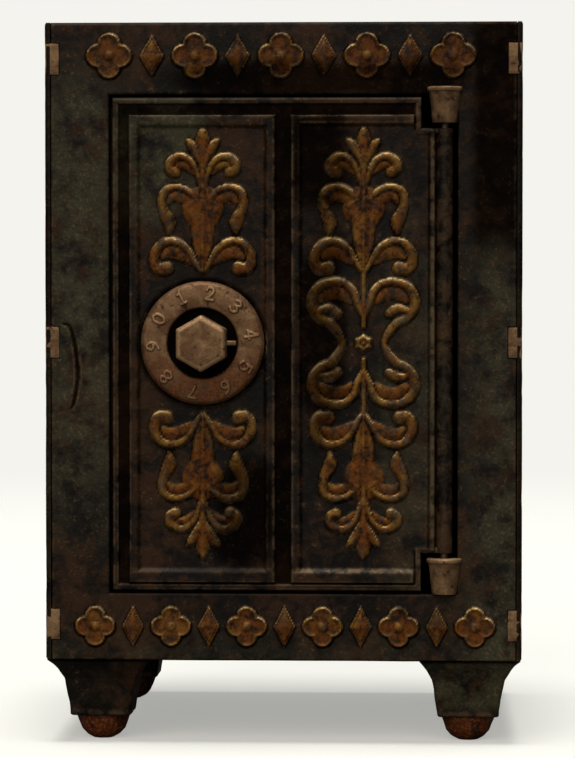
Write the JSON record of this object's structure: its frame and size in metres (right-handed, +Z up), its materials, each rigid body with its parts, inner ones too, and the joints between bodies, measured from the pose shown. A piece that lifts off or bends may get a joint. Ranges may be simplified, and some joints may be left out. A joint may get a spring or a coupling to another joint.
{
  "type": "safe still bank",
  "caption": "Cast iron toy safe coin bank on four legs, with a hinged two-panel door, a numbered dial lock and a coin slot in its top.",
  "frame": {"origin": "middle of the object's box on the floor, under the feet", "axes": "+Z up, +X to the right of a person facing the door, and the door faces -Y"},
  "size_m": [0.101, 0.097, 0.1546],
  "materials": {
    "japanned_iron": "black japan, worn through to brown iron at edges",
    "gilt_front": "black japan with worn gilt on the raised frieze",
    "gilt_door": "black japan with worn gilt on the raised scrollwork",
    "legs_iron": "black japan, rusted red on the toes",
    "bare_iron": "bare brown iron, rubbed smooth",
    "pin_steel": "dull steel, browned",
    "lock_steel": "stamped steel, dull"
  },
  "bodies": {
    "case": {"front_plate": "gilt_front", "back_plate": "japanned_iron", "left_side_plate": "japanned_iron", "right_side_plate": "japanned_iron", "top_plate": "japanned_iron", "base_plate": "legs_iron", "tie_screws": "pin_steel", "tie_nuts": "pin_steel", "lower_hinge_pin": "pin_steel", "upper_hinge_pin": "pin_steel"},
    "door": {"door": "gilt_door", "dial_ring": "bare_iron"},
    "dial": {"dial_knob": "bare_iron", "lock_spindle": "pin_steel", "tumbler_spacers": "lock_steel", "drive_cam": "lock_steel", "spring_washer": "lock_steel", "spindle_nut": "pin_steel"},
    "rear_tumbler": {"rear_tumbler": "lock_steel"},
    "front_tumbler": {"front_tumbler": "lock_steel"}
  },
  "joints": [
    {"name": "door_hinge", "type": "hinge", "parent": "case", "child": "door", "pos_m": [0.0341, -0.0402, 0.0858], "axis": [0, 0, 1], "range_deg": [0, 120]},
    {"name": "dial_turn", "type": "hinge", "parent": "door", "child": "dial", "pos_m": [-0.017, -0.04, 0.0853], "axis": [0, -1, 0], "continuous": true},
    {"name": "rear_tumbler_turn", "type": "hinge", "parent": "dial", "child": "rear_tumbler", "pos_m": [-0.017, -0.03, 0.0853], "axis": [0, -1, 0], "range_deg": [-2, 332]},
    {"name": "front_tumbler_turn", "type": "hinge", "parent": "rear_tumbler", "child": "front_tumbler", "pos_m": [-0.017, -0.033, 0.0853], "axis": [0, -1, 0], "range_deg": [-2, 332]}
  ]
}
